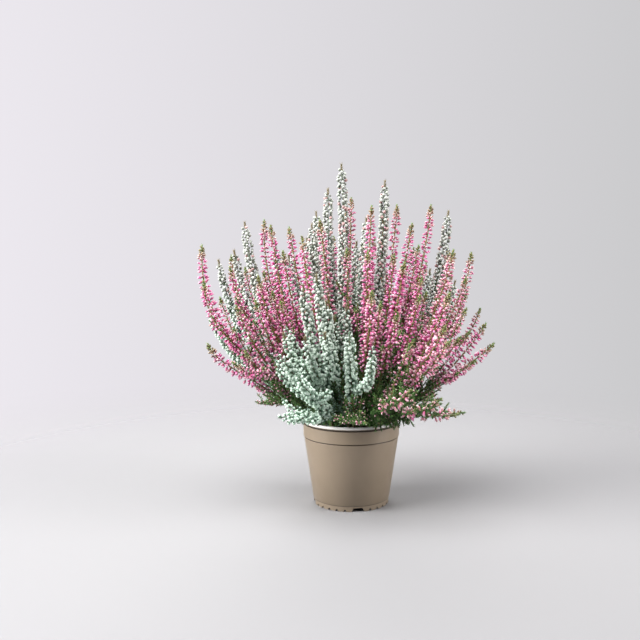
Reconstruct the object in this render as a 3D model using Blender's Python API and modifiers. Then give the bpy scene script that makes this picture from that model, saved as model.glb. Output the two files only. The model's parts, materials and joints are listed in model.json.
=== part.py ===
# Potted heather: silver-leaved and pink bud-flowering shoots in one round nursery pot.
# Metres, +Z up. The origin is the centre of the pot's foot circle on the surface it stands on.
# The front of the plant faces -Y.

import math
import random

import bmesh
import bpy
import numpy as np
from mathutils import Matrix, Vector, noise

MM = 0.001

# Nursery pot, an 11 cm size
POT_HEIGHT = 96 * MM
LIP_RADIUS = 55 * MM
LIP_HEIGHT = 3.6 * MM
COLLAR_RADIUS = 54 * MM
COLLAR_FOOT = 77 * MM
BODY_TOP_RADIUS = 53.2 * MM
SKIRT_HEIGHT = 6 * MM
SKIRT_TOP_RADIUS = 42.9 * MM
SKIRT_RADIUS = 42.3 * MM
WALL = 1.2 * MM
FLOOR_TOP = 6 * MM
POT_STEPS = 32

# Openings in the skirt and in the floor
GAP_COUNT = 4
GAP_FIRST_ANGLE = math.radians(-80)
GAP_TOP_WIDTH = 10 * MM
GAP_FOOT_WIDTH = 15 * MM
GAP_HEIGHT = 4.2 * MM
NOTCHES_PER_QUARTER = 5
NOTCH_WIDTH = 3.4 * MM
NOTCH_HEIGHT = 2.4 * MM
DRAIN_RADIUS = 4 * MM
DRAIN_RING = 26 * MM

# Potting soil
SOIL_EDGE = 83 * MM
SOIL_DOME = 2.5 * MM
SOIL_LUMP = 1.2 * MM
SOIL_STEPS = 16
TOUCH_GAP = 0.3 * MM
STEM_FOOT = 71 * MM
STEM_COLLAR = 87.5 * MM
HOLE_RADIUS = 2.3 * MM

# Crown: each shoot follows one line of a fan that opens from the soil to the dome of the crown
ROOT_RING = 40 * MM
FAN_RING = 47 * MM
FAN_BASE = 90 * MM
RIM_RISE = 13 * MM
CROWN_HALF_WIDTH = 171 * MM
CROWN_HALF_DEPTH = 152 * MM
TOP_RISE = 284 * MM
EDGE_DROP = 85 * MM
SKIRT_DROP = 900 * MM
FAN_BEND = 1.8
FAN_OPENING = 1.2
SWAY = 0.013

# Shoots
STEM_RADIUS = 1.5 * MM
SPIKE_ROOT = 1.1 * MM
LEAFY_RADIUS = 6 * MM
LEAFY_SHARES = (0.09, 0.19)
FLOWER_START = 0.3
RING_SPACING = 14.5 * MM
SIDES = 4
SPIKE_SPREAD = (0.11, 0.2)
SPIKE_JOIN = (0.26, 0.42)
SPIKE_REACH = 0.13
SPIKE_END = (0.68, 0.9)
PLACES_TRIED = 120
SHOOT_GAP = 0.5 * MM
THINNEST = 0.5 * MM
TIP_RADIUS = 1.4 * MM
SLIMMING = 0.3
SAMPLES = 60
FINE_STEPS = 4
SEED = 7

# Half width of a main spike and of a side spike, core share of it, and length of its round tip
SPIKES = {
    "silver": (7.2 * MM, 5.8 * MM, 0.55, 20 * MM),
    "pink": (9.0 * MM, 7.6 * MM, 0.36, 30 * MM),
    "green": (5.0 * MM, 4.2 * MM, 0.40, 10 * MM),
}

# Tips of the shoots that shape the outline and the front: kind, x, y, z in millimetres,
# and the number of side spikes
SHAPING_SHOOTS = [
    ("silver", -11, 5, 379, 2),
    ("silver", -27, 45, 355, 1),
    ("silver", 38, 20, 362, 1),
    ("silver", -45, 25, 314, 2),
    ("silver", -122, 30, 316, 2),
    ("silver", -157, -10, 219, 2),
    ("silver", 112, 40, 329, 2),
    ("silver", -48, -95, 250, 2),
    ("silver", -36, -70, 259, 2),
    ("silver", -25, -90, 233, 2),
    ("silver", -2, -110, 204, 2),
    ("silver", -71, -110, 181, 2),
    ("silver", -51, -130, 164, 2),
    ("silver", -68, -65, 205, 1),
    ("silver", -62, -126, 118, 2),
    ("pink", 0, 60, 346, 2),
    ("pink", -34, -20, 317, 2),
    ("pink", -52, -45, 299, 1),
    ("pink", -72, 40, 311, 2),
    ("pink", -89, -5, 312, 2),
    ("pink", -156, -52, 290, 2),
    ("pink", -146, -85, 190, 1),
    ("pink", 22, -25, 332, 2),
    ("pink", 53, 45, 337, 2),
    ("pink", 67, -5, 314, 2),
    ("pink", 91, 30, 336, 1),
    ("pink", 111, -20, 285, 2),
    ("pink", 137, 25, 282, 2),
    ("pink", 153, 12, 202, 1),
    ("pink", 157, -20, 183, 1),
    ("pink", 21, -85, 244, 2),
    ("pink", 101, -75, 241, 2),
    ("pink", 93, -110, 211, 2),
    ("pink", 56, -50, 272, 2),
    ("pink", 57, -140, 152, 2),
    ("pink", 88, -125, 141, 1),
    ("pink", 108, -106, 121, 1),
    ("pink", -73, -35, 284, 1),
    ("pink", -98, -50, 258, 2),
    ("pink", -119, -68, 228, 1),
    ("silver", 12, 138, 262, 3),
]

# The rest of the crown: shoots set by rule at the back, and leafy sprigs round the rim
BACK_SHOOTS = 9
BACK_SPIKES = 3
BACK_SHARES = (0.78, 0.97)
BACK_LIMIT = 0.93
SPRIG_COUNT = 8
SPRIG_RING = 1.16
SPRIG_SHARES = (0.16, 0.26)


def collection(name):
    made = bpy.data.collections.new(name)
    bpy.context.scene.collection.children.link(made)
    return made


def material(name, color, roughness):
    made = bpy.data.materials.new(name)
    made.use_nodes = True
    shader = made.node_tree.nodes["Principled BSDF"]
    shader.inputs["Base Color"].default_value = (*color, 1)
    shader.inputs["Roughness"].default_value = roughness
    shader.inputs["Metallic"].default_value = 0
    made.diffuse_color = (*color, 1)
    return made


def mesh_object(name, bm, owner, finish=None):
    mesh = bpy.data.meshes.new(name)
    bm.to_mesh(mesh)
    bm.free()
    made = bpy.data.objects.new(name, mesh)
    if finish:
        mesh.materials.append(finish)
    owner.objects.link(made)
    return made


def bake(obj):
    """Give the object the mesh that its modifiers make, and drop them."""
    bpy.context.view_layer.update()
    graph = bpy.context.evaluated_depsgraph_get()
    mesh = bpy.data.meshes.new_from_object(obj.evaluated_get(graph))
    obj.modifiers.clear()
    obj.data = mesh


def combine(obj, others, operation):
    """Apply one Boolean with a collection, then remove the collection and its objects."""
    modifier = obj.modifiers.new("Combine", "BOOLEAN")
    modifier.operation = operation
    modifier.operand_type = "COLLECTION"
    modifier.collection = others
    modifier.solver = "EXACT"
    bake(obj)
    for other in list(others.objects):
        bpy.data.objects.remove(other)
    bpy.data.collections.remove(others)


def turn(name, profile, steps, owner, finish):
    """A solid of revolution from a half section that runs from axis to axis."""
    bm = bmesh.new()
    points = [bm.verts.new((radius, 0, height)) for radius, height in profile]
    for start, end in zip(points, points[1:]):
        bm.edges.new((start, end))
    made = mesh_object(name, bm, owner, finish)
    screw = made.modifiers.new("Turn", "SCREW")
    screw.steps = steps
    screw.render_steps = steps
    screw.use_merge_vertices = True
    screw.merge_threshold = 0.01 * MM
    bake(made)
    return made


# Pot


def inner_radius(height):
    """Radius of the pot's inside wall, which widens evenly from the floor to the lip."""
    share = (height - FLOOR_TOP) / (POT_HEIGHT - FLOOR_TOP)
    foot = SKIRT_TOP_RADIUS - WALL
    return foot + (BODY_TOP_RADIUS - WALL - foot) * share


def pot_profile():
    """Half section: floor, inside wall, lip, collar, body, skirt and underside."""
    lip_foot = POT_HEIGHT - LIP_HEIGHT
    rounding = 0.6 * MM
    return [
        (0, FLOOR_TOP),
        (inner_radius(FLOOR_TOP), FLOOR_TOP),
        (inner_radius(POT_HEIGHT), POT_HEIGHT - rounding),
        (inner_radius(POT_HEIGHT) + rounding, POT_HEIGHT),
        (LIP_RADIUS - rounding, POT_HEIGHT),
        (LIP_RADIUS, POT_HEIGHT - rounding),
        (LIP_RADIUS, lip_foot),
        (COLLAR_RADIUS, lip_foot - rounding),
        (COLLAR_RADIUS, COLLAR_FOOT),
        (BODY_TOP_RADIUS, COLLAR_FOOT - rounding),
        (SKIRT_TOP_RADIUS, SKIRT_HEIGHT),
        (SKIRT_RADIUS, SKIRT_HEIGHT - rounding),
        (SKIRT_RADIUS, 0),
        (SKIRT_RADIUS - WALL, 0),
        (SKIRT_RADIUS - WALL, FLOOR_TOP - WALL),
        (0, FLOOR_TOP - WALL),
    ]


def skirt_cutter(foot_width, top_width, height, angle, cutters):
    """A prism that cuts one trapezoid opening through the skirt, from its foot up."""
    bm = bmesh.new()
    margin = 1 * MM
    outline = [
        (-foot_width / 2, -margin),
        (foot_width / 2, -margin),
        (top_width / 2, height),
        (-top_width / 2, height),
    ]
    corners = [bm.verts.new((SKIRT_RADIUS * 0.85, across, up)) for across, up in outline]
    face = bm.faces.new(corners)
    run = bmesh.ops.extrude_face_region(bm, geom=[face])["geom"]
    ends = [item for item in run if isinstance(item, bmesh.types.BMVert)]
    bmesh.ops.translate(bm, verts=ends, vec=(SKIRT_RADIUS * 0.3, 0, 0))
    bmesh.ops.recalc_face_normals(bm, faces=bm.faces)
    mesh_object("skirt cutter", bm, cutters).rotation_euler.z = angle


def drain_cutter(angle, cutters):
    bm = bmesh.new()
    turned = Matrix.Rotation(angle, 4, "Z")
    bmesh.ops.create_cone(
        bm,
        cap_ends=True,
        segments=6,
        radius1=DRAIN_RADIUS,
        radius2=DRAIN_RADIUS,
        depth=WALL * 4,
        matrix=turned @ Matrix.Translation((DRAIN_RING, 0, FLOOR_TOP - WALL / 2)),
    )
    mesh_object("drain cutter", bm, cutters)


def make_pot(owner):
    plastic = material("taupe plastic", (0.40, 0.33, 0.24), 0.45)
    pot = turn("pot", pot_profile(), POT_STEPS, owner, plastic)
    cutters = collection("pot cutters")
    quarter = 2 * math.pi / GAP_COUNT
    for number in range(GAP_COUNT):
        angle = GAP_FIRST_ANGLE + number * quarter
        skirt_cutter(GAP_FOOT_WIDTH, GAP_TOP_WIDTH, GAP_HEIGHT, angle, cutters)
        drain_cutter(angle, cutters)
        for step in range(NOTCHES_PER_QUARTER):
            offset = quarter * (step + 1.5) / (NOTCHES_PER_QUARTER + 2)
            skirt_cutter(NOTCH_WIDTH, NOTCH_WIDTH / 2, NOTCH_HEIGHT, angle + offset, cutters)
    combine(pot, cutters, "DIFFERENCE")
    pot.data.set_sharp_from_angle(angle=math.radians(30))


# Crown fan


def fan_point(u, v, share):
    """Place at this share of the fan line that starts at (u, v) in the unit disc of lines."""
    rho = np.hypot(u, v)
    spread = 1 - np.maximum(0, 1 - share**FAN_OPENING) ** (1 + FAN_BEND * rho)
    rise = TOP_RISE - EDGE_DROP * rho**2 - SKIRT_DROP * np.maximum(0, rho - 1)
    x = u * (FAN_RING + (CROWN_HALF_WIDTH - FAN_RING) * spread)
    y = v * (FAN_RING + (CROWN_HALF_DEPTH - FAN_RING) * spread)
    return np.stack([x, y, FAN_BASE + RIM_RISE * rho**2 + rise * share**1.1], axis=-1)


def fan_line_to(tip):
    """The (u, v, share) whose fan point is nearest to the tip."""
    rho, share = np.meshgrid(np.linspace(0, 1.2, 301), np.linspace(0.1, 1.2, 301))
    angle = math.atan2(tip[1] / CROWN_HALF_DEPTH, tip[0] / CROWN_HALF_WIDTH)
    for _ in range(4):
        points = fan_point(rho * math.cos(angle), rho * math.sin(angle), share)
        best = np.argmin(((points - tip) ** 2).sum(axis=-1))
        found = points.reshape(-1, 3)[best]
        angle += math.atan2(tip[1], tip[0]) - math.atan2(found[1], found[0])
    reach = rho.flat[best]
    return reach * math.cos(angle), reach * math.sin(angle), share.flat[best]


class Shoot:
    """One stem on its fan line, with the side spikes that branch from it."""

    def __init__(self, kind, u, v, share, phase, tip=None):
        self.kind = kind
        self.u = u
        self.v = v
        self.share = share
        self.phase = phase
        self.reach = min(SPIKE_REACH, 0.4 * share)
        self.spikes = []
        self.shift = np.zeros(3)
        if tip is not None:
            self.shift = tip - self.place(share)

    def place(self, share, spike=None):
        """Place at this share, on the stem or on the side spike (u, v, join, share)."""
        u = self.u
        v = self.v
        if spike:
            away = np.clip((share - spike[2]) / self.reach, 0, 1)
            away = away * away * (3 - 2 * away)
            u = u + (spike[0] - u) * away
            v = v + (spike[1] - v) * away
        sway = SWAY * np.clip(share / 0.25, 0, 1)
        u = u + sway * np.sin(6.5 * share + self.phase)
        v = v + sway * np.sin(5.5 * share + 2.3 * self.phase)
        pull = np.clip(share / self.share, 0, 1) ** 2
        return fan_point(u, v, share) + np.multiply.outer(pull, self.shift)

    def root(self, height):
        return np.array([self.u * ROOT_RING, self.v * ROOT_RING, height])

    def stem_line(self):
        """Close-set points along the stem."""
        buried = np.linspace(self.root(STEM_FOOT), self.root(STEM_COLLAR), 4)
        return np.concatenate([buried, self.place(np.linspace(0, self.share, SAMPLES))])

    def spike_line(self, spike):
        """Close-set points along a side spike, from where it stands clear of the stem."""
        start = spike[2] + self.reach / 2
        return self.place(np.linspace(start, spike[3], SAMPLES), spike)


def plan_shoots():
    """All shoots: those with given tips, then the back by rule, then the rim's leafy sprigs."""
    draw = random.Random(SEED)
    shoots = []
    wanted = []
    for kind, x, y, z, count in SHAPING_SHOOTS:
        tip = np.array([x, y, z]) * MM
        u, v, share = fan_line_to(tip)
        shoots.append(Shoot(kind, u, v, share, draw.uniform(0, 6.28), tip))
        wanted.append(count)
    for number in range(BACK_SHOOTS):
        u, v = widest_gap(draw, shoots, back_of_disc)
        kind = "silver" if number % 3 == 0 else "pink"
        shoots.append(Shoot(kind, u, v, draw.uniform(*BACK_SHARES), draw.uniform(0, 6.28)))
        wanted.append(BACK_SPIKES)
    for number in range(SPRIG_COUNT):
        u, v = widest_gap(draw, shoots, rim_of_disc)
        shoots.append(Shoot("green", u, v, draw.uniform(*SPRIG_SHARES), draw.uniform(0, 6.28)))
        wanted.append(2)
    for shoot, count in zip(shoots, wanted):
        for _ in range(count):
            add_spike(draw, shoot, shoots)
    return shoots


def back_of_disc(draw):
    rho = BACK_LIMIT * math.sqrt(draw.random())
    angle = math.radians(draw.uniform(5, 175))
    return rho * math.cos(angle), rho * math.sin(angle)


def rim_of_disc(draw):
    angle = draw.uniform(0, 2 * math.pi)
    return SPRIG_RING * math.cos(angle), SPRIG_RING * math.sin(angle)


def fan_lines(shoots):
    """The (u, v) of every stem and side spike planned so far."""
    stems = [(shoot.u, shoot.v) for shoot in shoots]
    return stems + [spike[:2] for shoot in shoots for spike in shoot.spikes]


def distances(places, lines):
    """Distance from each place in the unit disc to the nearest of the fan lines."""
    return np.linalg.norm(places[:, None] - np.array(lines)[None], axis=-1).min(axis=1)


def widest_gap(draw, shoots, pick):
    """Of several places drawn with pick, the one furthest from all fan lines in use."""
    places = np.array([pick(draw) for _ in range(PLACES_TRIED)])
    return places[distances(places, fan_lines(shoots)).argmax()]


def add_spike(draw, shoot, shoots):
    """Branch one side spike into the free room beside the stem, across no other fan line."""
    stem = np.array([shoot.u, shoot.v])
    limit = max(1, np.linalg.norm(stem))
    places = []
    for _ in range(PLACES_TRIED):
        angle = draw.uniform(0, 2 * math.pi)
        away = draw.uniform(*SPIKE_SPREAD)
        place = stem + away * np.array([math.cos(angle), math.sin(angle)])
        places.append(place * min(1, limit / np.linalg.norm(place)))
    places = np.array(places)
    others = fan_lines([other for other in shoots if other is not shoot])
    own = fan_lines([shoot])
    crossing = distances((places + stem) / 2, others)
    room = np.minimum(distances(places, others), distances(places, own))
    u, v = places[np.minimum(room, crossing).argmax()]
    join = shoot.share * draw.uniform(*SPIKE_JOIN)
    shoot.spikes.append((u, v, join, shoot.share * draw.uniform(*SPIKE_END)))


# Shoot solids


def flower_widths(kind, order, length, count):
    """Half widths from the first flowers, which swell, to the round tip."""
    widest = SPIKES[kind][order]
    along = np.linspace(0, 1, count)
    swell = 0.6 + 0.4 * np.sin(np.clip(along / 0.3, 0, 1) * math.pi / 2)
    left = np.clip(length * (1 - along) / SPIKES[kind][3], 0, 1)
    rounded = np.sqrt(1 - (1 - left) ** 2)
    return np.maximum(TIP_RADIUS, widest * swell * (1 - SLIMMING * along) * rounded)


def stem_stations(shoot):
    """Places, half widths and core shares from the foot in the soil to the tip."""
    start = min(FLOWER_START, 0.5 * shoot.share)
    length = np.linalg.norm(shoot.place(shoot.share) - shoot.place(start))
    count = max(4, round(length / RING_SPACING) + 1)
    leafy = [share for share in LEAFY_SHARES if share < start - 0.05]
    shares = np.concatenate([[0], leafy, np.linspace(start, shoot.share, count)])
    places = [shoot.root(STEM_FOOT), shoot.root(STEM_COLLAR), *shoot.place(shares)]
    widths = [STEM_RADIUS] * 3 + [LEAFY_RADIUS] * len(leafy)
    cores = [1] * 3 + [0.5] * len(leafy) + [SPIKES[shoot.kind][2]] * (count - 1) + [1]
    return places, np.concatenate([widths, flower_widths(shoot.kind, 0, length, count)]), cores


def spike_stations(shoot, spike):
    """Places, half widths and core shares from inside the stem to the side spike's tip."""
    start = spike[2] + shoot.reach / 2
    length = np.linalg.norm(shoot.place(spike[3], spike) - shoot.place(start, spike))
    count = max(3, round(length / RING_SPACING) + 1)
    shares = np.concatenate([[spike[2]], np.linspace(start, spike[3], count)])
    widths = [SPIKE_ROOT]
    cores = [1] + [SPIKES[shoot.kind][2]] * (count - 1) + [1]
    widths = np.concatenate([widths, flower_widths(shoot.kind, 1, length, count)])
    return list(shoot.place(shares, spike)), widths, cores


def clear_widths(places, widths, lines, first):
    """Keep the half widths from the first given one clear of the other lines all the way."""
    others = np.concatenate(lines)
    steps = np.arange(0, len(places) - 0.99, 1 / FINE_STEPS)
    fine = np.stack([np.interp(steps, range(len(places)), axis) for axis in np.transpose(places)])
    gaps = np.linalg.norm(fine.T[:, None] - others[None], axis=-1).min(axis=1)
    near = [gaps[abs(steps - number) < 1].min() for number in range(len(places))]
    room = np.maximum(THINNEST, (np.array(near) - SHOOT_GAP) / 2)
    room[:first] = widths[:first]
    return np.minimum(widths, room)


def relief_tube(name, places, widths, cores, owner, finish):
    """A tube through the places, where every second corner stands out like a bud or leaf."""
    bm = bmesh.new()
    rings = []
    across = Vector((1, 0, 0))
    for number, place in enumerate(places):
        before = Vector(places[max(0, number - 1)])
        after = Vector(places[min(len(places) - 1, number + 1)])
        along = (after - before).normalized()
        across = (across - along * across.dot(along)).normalized()
        frame = Matrix((across, along.cross(across), along)).transposed().to_4x4()
        frame.translation = place
        ring = bmesh.ops.create_circle(
            bm, segments=SIDES, radius=widths[number], matrix=frame, cap_ends=False
        )["verts"]
        edges = {edge for vert in ring for edge in vert.link_edges}
        if rings:
            bmesh.ops.bridge_loops(bm, edges=list(edges | last_edges))
        rings.append(ring)
        last_edges = edges
    for ring in (rings[0], rings[-1]):
        bmesh.ops.contextual_create(bm, geom=ring)
    for number, ring in enumerate(rings):
        centre = Vector(places[number])
        for corner, vert in enumerate(ring):
            if (number + corner) % 2:
                vert.co = centre + (vert.co - centre) * cores[number]
    bmesh.ops.triangulate(bm, faces=bm.faces, quad_method="SHORT_EDGE")
    bmesh.ops.recalc_face_normals(bm, faces=bm.faces)
    return mesh_object(name, bm, owner, finish)


def make_shoot(name, shoot, others, owner, finish):
    """One shoot's solid: its stem and side spikes in one body, clear of the other shoots."""
    own_lines = [shoot.spike_line(spike) for spike in shoot.spikes]
    places, widths, cores = stem_stations(shoot)
    widths = clear_widths(places, widths, others + own_lines, 2)
    stem = relief_tube(name, places, widths, cores, owner, finish)
    joined = collection(name + " side spikes")
    for number, spike in enumerate(shoot.spikes):
        beside = own_lines[:number] + own_lines[number + 1 :] + [shoot.stem_line()]
        places, widths, cores = spike_stations(shoot, spike)
        widths = clear_widths(places, widths, others + beside, 1)
        relief_tube("side spike", places, widths, cores, joined, finish)
    combine(stem, joined, "UNION")


def make_shoots(owner, shoots):
    finishes = {
        "silver": material("silver foliage", (0.45, 0.56, 0.49), 0.7),
        "pink": material("pink buds", (0.78, 0.27, 0.45), 0.6),
        "green": material("green foliage", (0.07, 0.20, 0.09), 0.6),
    }
    labels = {"silver": "silver_branch", "pink": "pink_branch", "green": "green_sprig"}
    lines = []
    for shoot in shoots:
        spikes = [shoot.spike_line(spike) for spike in shoot.spikes]
        lines.append(np.concatenate([shoot.stem_line()] + spikes))
    counts = dict.fromkeys(labels, 0)
    for number, shoot in enumerate(shoots):
        counts[shoot.kind] += 1
        name = f"{labels[shoot.kind]}_{counts[shoot.kind]:02d}"
        make_shoot(name, shoot, lines[:number] + lines[number + 1 :], owner, finishes[shoot.kind])


# Potting soil


def soil_profile():
    """Half section: domed top, side just inside the pot's wall, and flat underside."""
    rings = [(share, SOIL_EDGE + SOIL_DOME * (1 - share**2)) for share in (0, 0.3, 0.6, 0.85, 1)]
    edge = inner_radius(SOIL_EDGE) - TOUCH_GAP * 1.5
    foot = FLOOR_TOP + TOUCH_GAP
    top = [(edge * share, height) for share, height in rings]
    return top + [(inner_radius(foot) - TOUCH_GAP * 1.5, foot), (0, foot)]


def make_soil(owner, shoots):
    peat = material("peat", (0.045, 0.022, 0.014), 0.95)
    soil = turn("potting_soil", soil_profile(), SOIL_STEPS, owner, peat)
    for vert in soil.data.vertices:
        if vert.co.z > SOIL_EDGE:
            vert.co.z += SOIL_LUMP * noise.noise(vert.co / (9 * MM))
    holes = collection("stem holes")
    for shoot in shoots:
        bm = bmesh.new()
        depth = POT_HEIGHT - STEM_FOOT + TOUCH_GAP
        middle = Vector(shoot.root(POT_HEIGHT - depth / 2))
        bmesh.ops.create_cone(
            bm,
            cap_ends=True,
            segments=5,
            radius1=HOLE_RADIUS,
            radius2=HOLE_RADIUS,
            depth=depth,
            matrix=Matrix.Translation(middle),
        )
        mesh_object("stem hole", bm, holes)
    combine(soil, holes, "DIFFERENCE")


for thing in list(bpy.data.objects):
    bpy.data.objects.remove(thing)
heather = collection("potted heather")
planned = plan_shoots()
make_pot(heather)
make_soil(heather, planned)
make_shoots(heather, planned)
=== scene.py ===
import json
import math
import random

import bmesh
import bpy
import numpy as np
from mathutils import Matrix, Vector, noise

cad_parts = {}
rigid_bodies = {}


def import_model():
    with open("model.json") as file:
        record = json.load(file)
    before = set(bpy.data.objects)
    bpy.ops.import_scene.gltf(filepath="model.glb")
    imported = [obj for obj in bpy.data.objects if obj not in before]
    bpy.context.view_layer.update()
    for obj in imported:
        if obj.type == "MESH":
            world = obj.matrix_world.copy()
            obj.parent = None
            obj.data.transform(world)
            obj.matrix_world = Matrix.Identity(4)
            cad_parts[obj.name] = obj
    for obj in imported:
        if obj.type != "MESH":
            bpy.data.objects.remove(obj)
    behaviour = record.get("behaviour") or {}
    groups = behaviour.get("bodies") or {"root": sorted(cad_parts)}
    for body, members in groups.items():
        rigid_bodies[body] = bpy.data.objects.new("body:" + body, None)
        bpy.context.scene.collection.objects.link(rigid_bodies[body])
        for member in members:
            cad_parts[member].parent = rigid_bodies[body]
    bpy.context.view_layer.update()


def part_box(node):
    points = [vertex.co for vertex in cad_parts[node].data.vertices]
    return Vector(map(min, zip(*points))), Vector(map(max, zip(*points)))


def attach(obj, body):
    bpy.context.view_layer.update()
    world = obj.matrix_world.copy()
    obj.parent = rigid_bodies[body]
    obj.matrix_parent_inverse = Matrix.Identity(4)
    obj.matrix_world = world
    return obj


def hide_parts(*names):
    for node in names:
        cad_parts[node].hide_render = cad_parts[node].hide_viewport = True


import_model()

# Pot
# A thin-walled nursery pot, injection-moulded in satin taupe polypropylene. A rolled lip stands
# over a straight collar. The tapered body ends in a short skirt with gaps and notches at its foot.

MM = 0.001
POT_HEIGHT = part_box("pot")[1].z
LIP_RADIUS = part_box("pot")[1].x
LIP_HEIGHT = 3.6 * MM
COLLAR_RADIUS = 54 * MM
COLLAR_FOOT = 77 * MM
BODY_TOP_RADIUS = 53.2 * MM
SKIRT_HEIGHT = 6 * MM
SKIRT_TOP_RADIUS = 42.9 * MM
SKIRT_RADIUS = 42.3 * MM
WALL = 1.2 * MM
FLOOR_TOP = 6 * MM
POT_STEPS = 160
GAP_COUNT = 4
GAP_FIRST_ANGLE = math.radians(-80)
GAP_TOP_WIDTH = 10 * MM
GAP_FOOT_WIDTH = 15 * MM
GAP_HEIGHT = 4.2 * MM
NOTCHES_PER_QUARTER = 5
NOTCH_WIDTH = 3.4 * MM
NOTCH_HEIGHT = 2.4 * MM
DRAIN_RADIUS = 4 * MM
DRAIN_RING = 26 * MM

TAUPE = (0.25, 0.195, 0.14)
TAUPE_DARK = (0.215, 0.168, 0.118)
# Colour of the painted shade lines under the lip, under the collar and over the skirt
GROOVE_SHADE = (0.05, 0.035, 0.025)
# Colour of the painted highlight on the top of the lip
LIP_HIGHLIGHT = (0.72, 0.70, 0.69)


def mesh_object(name, mesh):
    made = bpy.data.objects.new(name, mesh)
    bpy.context.scene.collection.objects.link(made)
    return made


def finished_mesh(name, bm):
    mesh = bpy.data.meshes.new(name)
    bm.to_mesh(mesh)
    bm.free()
    return mesh


def arc(centre, radius, first, last, count):
    """Points of an arc in the (radius, height) plane, with angles in degrees."""
    turns = np.radians(np.linspace(first, last, count))
    return [(centre[0] + radius * math.cos(t), centre[1] + radius * math.sin(t)) for t in turns]


def turned(profile, steps):
    """A bmesh spun from a (radius, height) half section that ends on the axis at both ends."""
    bm = bmesh.new()
    points = [bm.verts.new((radius, 0, height)) for radius, height in profile]
    edges = [bm.edges.new(pair) for pair in zip(points, points[1:])]
    bmesh.ops.spin(
        bm, geom=points + edges, axis=(0, 0, 1), cent=(0, 0, 0), angle=2 * math.pi,
        steps=steps, use_merge=True,
    )
    bmesh.ops.remove_doubles(bm, verts=bm.verts, dist=0.01 * MM)
    bmesh.ops.recalc_face_normals(bm, faces=bm.faces)
    return bm


def inner_radius(height):
    share = (height - FLOOR_TOP) / (POT_HEIGHT - FLOOR_TOP)
    foot = SKIRT_TOP_RADIUS - WALL
    return foot + (BODY_TOP_RADIUS - WALL - foot) * share


def pot_profile():
    """Half section: floor, inside wall, rolled lip, collar with its shadow line, body and skirt."""
    lip_foot = POT_HEIGHT - LIP_HEIGHT
    round_in = 1.0 * MM
    round_out = 1.5 * MM
    groove = 1.0 * MM
    wall_top = inner_radius(POT_HEIGHT)
    return [
        (0, FLOOR_TOP),
        (inner_radius(FLOOR_TOP) - 2 * MM, FLOOR_TOP),
        (inner_radius(FLOOR_TOP), FLOOR_TOP + 2 * MM),
        *arc((wall_top + round_in, POT_HEIGHT - round_in), round_in, 180, 90, 4),
        *arc((LIP_RADIUS - round_out, POT_HEIGHT - round_out), round_out, 90, 0, 6),
        (LIP_RADIUS, lip_foot + 0.5 * MM),
        *arc((LIP_RADIUS - 0.4 * MM, lip_foot + 0.3 * MM), 0.4 * MM, 0, -90, 3),
        (COLLAR_RADIUS - groove, lip_foot - 0.1 * MM),
        (COLLAR_RADIUS - groove, lip_foot - 1.1 * MM),
        (COLLAR_RADIUS, lip_foot - 1.7 * MM),
        (COLLAR_RADIUS, COLLAR_FOOT + 0.4 * MM),
        (COLLAR_RADIUS - 0.4 * MM, COLLAR_FOOT),
        (BODY_TOP_RADIUS - 0.7 * MM, COLLAR_FOOT - 0.1 * MM),
        (BODY_TOP_RADIUS - 0.7 * MM, COLLAR_FOOT - 0.8 * MM),
        (BODY_TOP_RADIUS, COLLAR_FOOT - 1.6 * MM),
        (SKIRT_TOP_RADIUS + 0.2 * MM, SKIRT_HEIGHT + 0.9 * MM),
        (SKIRT_TOP_RADIUS - 0.4 * MM, SKIRT_HEIGHT + 0.3 * MM),
        (SKIRT_RADIUS, SKIRT_HEIGHT - 0.4 * MM),
        (SKIRT_RADIUS, 0.3 * MM),
        (SKIRT_RADIUS - 0.3 * MM, 0),
        (SKIRT_RADIUS - WALL, 0),
        (SKIRT_RADIUS - WALL, FLOOR_TOP - WALL),
        (0, FLOOR_TOP - WALL),
    ]


def skirt_cutter(foot_width, top_width, height, angle, cutters):
    """A prism that cuts one trapezoid opening through the skirt, from its foot up."""
    bm = bmesh.new()
    margin = 1 * MM
    outline = [
        (-foot_width / 2, -margin),
        (foot_width / 2, -margin),
        (top_width / 2, height),
        (-top_width / 2, height),
    ]
    corners = [bm.verts.new((SKIRT_RADIUS * 0.85, across, up)) for across, up in outline]
    face = bm.faces.new(corners)
    run = bmesh.ops.extrude_face_region(bm, geom=[face])["geom"]
    ends = [item for item in run if isinstance(item, bmesh.types.BMVert)]
    bmesh.ops.translate(bm, verts=ends, vec=(SKIRT_RADIUS * 0.3, 0, 0))
    bmesh.ops.recalc_face_normals(bm, faces=bm.faces)
    bmesh.ops.rotate(bm, verts=bm.verts, cent=(0, 0, 0), matrix=Matrix.Rotation(angle, 3, "Z"))
    cutters.objects.link(bpy.data.objects.new("skirt cutter", finished_mesh("skirt cutter", bm)))


def drain_cutter(angle, cutters):
    bm = bmesh.new()
    middle = Matrix.Translation((DRAIN_RING, 0, FLOOR_TOP - WALL / 2))
    bmesh.ops.create_cone(
        bm, cap_ends=True, segments=24, radius1=DRAIN_RADIUS, radius2=DRAIN_RADIUS,
        depth=WALL * 4, matrix=Matrix.Rotation(angle, 4, "Z") @ middle,
    )
    cutters.objects.link(bpy.data.objects.new("drain cutter", finished_mesh("drain cutter", bm)))


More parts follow.
